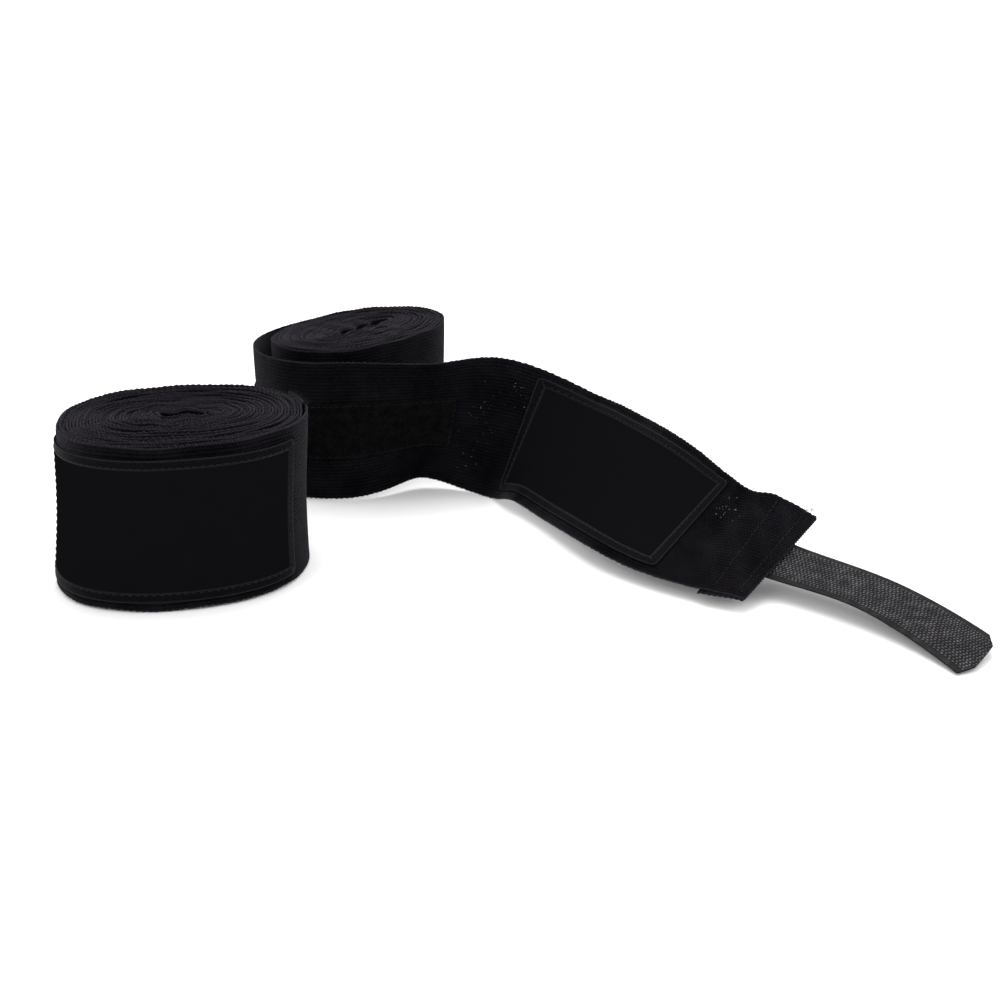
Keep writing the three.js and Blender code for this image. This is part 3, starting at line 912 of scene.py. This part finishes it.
def add_lint(name, path, patches, seed, material):
    """Flecks of pale lint, in patches of (s, x, spread s, spread x, count)."""
    random = np.random.default_rng(seed)
    s = np.concatenate([random.normal(p[0], p[2], p[4]) for p in patches])[:, None]
    x = np.concatenate([random.normal(p[1], p[3], p[4]) for p in patches])[:, None]
    x = np.clip(x, LINT_INSET - HALF_BAND, HALF_BAND - LINT_INSET)
    t = np.linspace(-0.5, 0.5, 4)
    turn = random.uniform(0, 2 * math.pi, s.shape)
    reach = random.uniform(0.12, 0.5, s.shape)
    fleck_s = s + np.cos(turn) * t * reach
    fleck_x = x + np.sin(turn) * t * reach
    level = BAND_THICK / 2 + 0.12 + random.uniform(0, 0.12, s.shape) + 0 * t
    lines = path.place(fleck_s, fleck_x, level)
    up = path.outward_at(fleck_s) + 0.011
    radius = random.uniform(0.035, 0.09, s.shape) * np.array([0.5, 1, 1, 0.5])
    return tubes(name, lines, radius, 5, up, material)


def add_thread_ends(name, path, end, material):
    """Loose ends of the hem's sewing thread, at its upper corner."""
    t = np.linspace(0, 1, 9)
    ends = (
        (-2.9, 21.5, 4.6, 0.5, 2.6),
        (-3.3, 22.2, 3.8, 2.4, 3.4),
        (-1.0, 23.6, 2.9, -1.2, 1.6),
        (-1.4, -22.6, 2.4, 1.0, 0.5),
    )
    lines = []
    for inset, x, rise, lean, curl in ends:
        side = math.copysign(1, x)
        s = end + inset + lean * t + curl * t**2 * 0.6
        across = x + side * (rise * t - 0.8 * t**3)
        level = BAND_THICK / 2 + 0.25 + 1.7 * np.sin(t * 2.4)
        lines.append(path.place(s, across, level))
    lines = np.array(lines)
    up = np.broadcast_to([0.3, 0.2, 0.93], lines.shape)
    return tubes(name, lines, THREAD_END_RADIUS * np.array([1] * 7 + [0.8, 0.5]), 6, up, material)


# ---- the whole pair ----


def add_camera():
    """Looks along +Y from above the table."""
    data = bpy.data.cameras.new("camera")
    camera = bpy.data.objects.new("camera", data)
    bpy.context.scene.collection.objects.link(camera)
    camera.location = CAMERA_PLACE
    camera.rotation_euler = (math.radians(90 - CAMERA_DOWN), 0, 0)
    data.sensor_width = 36
    data.angle = math.radians(CAMERA_ANGLE)
    data.clip_start, data.clip_end = 0.01, 100
    bpy.context.scene.camera = camera


def add_light(name, location, target, energy, size):
    """A square area light, turned towards a target. Places are in metres."""
    data = bpy.data.lights.new(name, "AREA")
    data.energy, data.size = energy, size
    light = bpy.data.objects.new(name, data)
    bpy.context.scene.collection.objects.link(light)
    light.location = location
    direction = np.array(target, float) - np.array(location, float)
    heading = math.atan2(direction[1], direction[0])
    tilt = math.acos(-direction[2] / np.linalg.norm(direction))
    light.rotation_euler = (tilt, 0, heading - math.pi / 2)


def floor_material():
    nodes = Nodes("floor", Specular_IOR_Level=0.1)
    vector = nodes.add("ShaderNodeTexCoord").outputs["Object"]
    mottle = nodes.noise(vector, 3.0, 2.0, 0.5)
    colour = nodes.colours(mottle, (0.3, (0.93, 0.93, 0.93)), (0.7, (0.95, 0.95, 0.95)))
    roughness = nodes.math("MULTIPLY_ADD", mottle, 0.05, 0.9)
    return nodes.finish(colour, roughness, mottle, 0.02, 0.0001)


def add_stage():
    """A white table, a white surround and three soft lights."""
    half = 60.0  # in metres
    corners = [(-half, -half, 0), (half, -half, 0), (half, half, 0), (-half, half, 0)]
    mesh = bpy.data.meshes.new("floor")
    mesh.from_pydata(corners, [], [(0, 1, 2, 3)])
    mesh.materials.append(floor_material())
    floor = bpy.data.objects.new("floor", mesh)
    bpy.context.scene.collection.objects.link(floor)
    world = bpy.data.worlds.new("surround")
    world.use_nodes = True
    background = world.node_tree.nodes["Background"]
    background.inputs["Color"].default_value = (1, 1, 1, 1)
    background.inputs["Strength"].default_value = 1.1
    bpy.context.scene.world = world
    add_light("top", (-0.1, 0.35, 1.1), (-0.03, 0.0, 0.0), 9, 1.0)
    add_light("front_left", (-0.8, -0.8, 0.7), (0, 0, 0.02), 3, 0.8)
    add_light("right", (0.9, 0.1, 0.6), (0, 0, 0.02), 3, 0.6)
    bpy.context.scene.view_settings.view_transform = "Standard"


def ride_all(body, pieces):
    for piece in pieces:
        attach(piece, body)


def blend_between(path, pieces, first, second, start, end):
    """Bakes each piece's transform into its mesh. The cloth is not bent between the two places."""
    before, after = path.place([start, end], 0, 0)
    for piece in pieces:
        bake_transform(piece)


def finish_piece(piece, slot, *nodes):
    if nodes:
        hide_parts(*nodes)


def finish_wrap(prefix, bands, label, loop, hem, hook, thumb, outer_nodes, loop_nodes):
    """Hides the CAD nodes that one wrap's pieces replace."""
    core, outer = bands
    finish_piece(core, "cotton_webbing", f"{prefix}_band")
    finish_piece(outer, "cotton_webbing", *(f"{prefix}_{node}" for node in outer_nodes))
    finish_piece(label[0], "label_cloth", f"{prefix}_label")
    finish_piece(label[1], "sewing_thread", f"{prefix}_label_border")
    finish_piece(label[2], "sewing_thread")
    finish_piece(loop[0], "loop_tape_pile", *(f"{prefix}_{node}" for node in loop_nodes))
    finish_piece(loop[1], "loop_tape_pile")
    finish_piece(loop[2], "sewing_thread")
    for k, line in enumerate(hem):
        finish_piece(line, "sewing_thread", f"{prefix}_hem_seam_{k + 1}")
    finish_piece(hook[0], "hook_tape_nylon", f"{prefix}_hook_tape")
    finish_piece(hook[1], "hook_tape_nylon")
    finish_piece(thumb, "cotton_webbing", f"{prefix}_thumb_loop")


def add_wrap_a(materials):
    cotton = materials["cotton"]
    path = path_a()
    bands = add_bands("a", path, WRAP_A, 0.0, wander, 0.6, cotton)
    label = add_label("a", path, -WRAP_A["label_start"], materials)
    loop = add_loop_tape("a", path, -WRAP_A["loop_start"], -LOOP_END, materials, 11)
    hem = add_hem_stitches("a", path, 0.0, materials)
    edge = -turn_length(WRAP_A, 1)
    hook = add_hook_tape("a", path, edge, FACE + TAPE_THICK + GAP + 0.4, -0.5, 1.1, materials)
    thumb = add_thumb_loop("a", WRAP_A, path.settle, cotton)
    fuzz = [
        add_fuzz("a_fuzz", path, (-3600, 0), 2600, 21, cotton, edges=(1, 1, 1, -1), drift=wander),
        add_fuzz("a_hem_fuzz", path, (-16, 0.6), 260, 22, cotton, length=(0.8, 2.4), drift=wander),
    ]
    ride_all("wrap_a", [*bands, *label, *loop, *hem, thumb, *fuzz])
    blend_between(path, hook, "wrap_a", "wrap_a_hook_tape", *(edge + offset for offset in HOOK_BEND))
    finish_wrap("a", bands, label, loop, hem, hook, thumb, ["hem_fold"], ["loop_tape"])
    for piece in fuzz:
        finish_piece(piece, "cotton_webbing")


def add_wrap_b(materials):
    cotton = materials["cotton"]
    path = path_b()

    def drift(s):
        return wander(s) * (1 - smoothstep(s, -60, 0))

    bands = add_bands("b", path, WRAP_B, float(TAIL_END), drift, -1.3, cotton)
    label = add_label("b", path, TAIL_END - WRAP_B["label_start"], materials)
    loop = add_loop_tape("b", path, TAIL_END - WRAP_B["loop_start"], TAIL_END - LOOP_END, materials, 12)
    hem = add_hem_stitches("b", path, TAIL_END, materials)
    hook = add_hook_tape("b", path, TAIL_END, 0.06, 9, 1.92, materials)
    thumb = add_thumb_loop("b", WRAP_B, path.settle, cotton)
    patches = ((156, 14, 5, 4, 16), (150, 2, 4, 7, 18), (146, -10, 4, 4, 14), (259, 12, 3, 3, 22))
    lint = add_lint("b_lint", path, patches, 31, materials["lint"])
    ends = add_thread_ends("b_thread_ends", path, TAIL_END, materials["thread"])
    fuzz_roll = add_fuzz("b_fuzz_roll", path, (-3500, 0), 2400, 23, cotton)
    fuzz_tail = add_fuzz("b_fuzz_tail", path, (130, TAIL_END), 900, 24, cotton, (0.3, 0.9), edges=(1, -1))
    core, outer = bands
    ride_all("wrap_b_roll", [core, thumb, fuzz_roll])
    ride_all("wrap_b_tail", [*label, *hem, ends, fuzz_tail, lint])
    blend_between(path, hook, "wrap_b_tail", "wrap_b_hook_tape", *(TAIL_END + offset for offset in HOOK_BEND))
    near, far = TAIL_HINGE - TAIL_BEND, TAIL_HINGE + TAIL_BEND
    blend_between(path, [outer, *loop], "wrap_b_roll", "wrap_b_tail", near, far)
    outer_nodes = ["loose_turn", "tail", "hem_fold"]
    loop_nodes = ["loop_tape_roll_part", "loop_tape_tail_part"]
    finish_wrap("b", bands, label, loop, hem, hook, thumb, outer_nodes, loop_nodes)
    for piece in (fuzz_roll, fuzz_tail):
        finish_piece(piece, "cotton_webbing")
    finish_piece(ends, "sewing_thread")


add_camera()
add_stage()
MATERIALS = {
    "cotton": cotton_material(),
    "label": label_material(),
    "border": border_material(),
    "thread": thread_material(),
    "hook_ground": hook_ground_material(),
    "hook": hook_material(),
    "loop": loop_material(),
    "lint": lint_material(),
}
add_wrap_a(MATERIALS)
add_wrap_b(MATERIALS)
